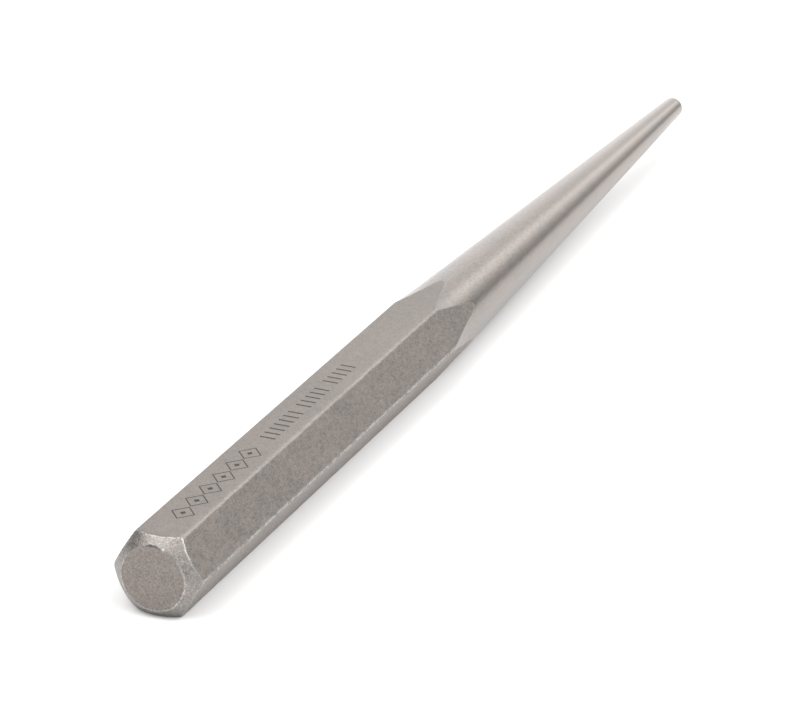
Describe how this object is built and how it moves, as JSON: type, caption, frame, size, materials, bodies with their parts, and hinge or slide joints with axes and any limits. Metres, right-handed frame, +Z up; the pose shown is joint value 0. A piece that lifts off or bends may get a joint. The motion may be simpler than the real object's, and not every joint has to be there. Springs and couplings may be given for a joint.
{
  "type": "taper punch",
  "caption": "Long steel punch: a hexagonal bar with a chamfered round striking face, blending through pointed arches into a slender round taper with a blunt flat tip.",
  "frame": {"origin": "on the surface the punch lies on, under the middle of its length: the bottom centre of its box", "axes": "+X along the punch's axis from the struck end to the tip, +Z up, square to the flat it lies on"},
  "size_m": [0.2858, 0.018, 0.0159],
  "materials": {
    "punch_steel": "bare tool steel, satin grey, finely blasted"
  },
  "bodies": {
    "root": {"punch": "punch_steel"}
  },
  "joints": []
}
